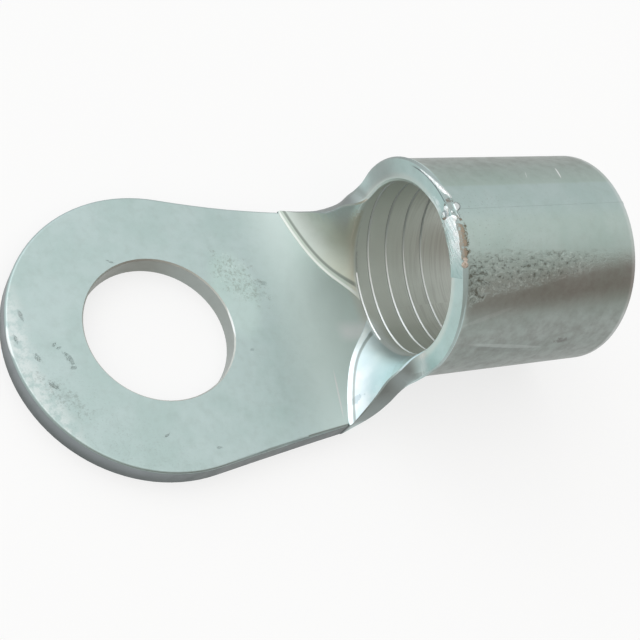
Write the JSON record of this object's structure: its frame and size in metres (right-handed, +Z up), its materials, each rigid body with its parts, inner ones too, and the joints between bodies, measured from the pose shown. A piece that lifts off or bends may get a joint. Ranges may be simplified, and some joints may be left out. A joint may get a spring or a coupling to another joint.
{
  "type": "uninsulated ring terminal",
  "caption": "Uninsulated ring terminal of formed sheet: flat ring with a stud hole, drawn neck, and rolled wire barrel with a brazed butt seam.",
  "frame": {"origin": "centre of the stud hole on the face that lies on the busbar", "axes": "+X from the ring to the wire barrel, +Z up through the stud hole, on the side the barrel stands on"},
  "size_m": [0.051, 0.0256, 0.0188],
  "materials": {
    "tinned_copper": "satin tin plate on copper"
  },
  "bodies": {
    "root": {"terminal_body": "tinned_copper"}
  },
  "joints": []
}
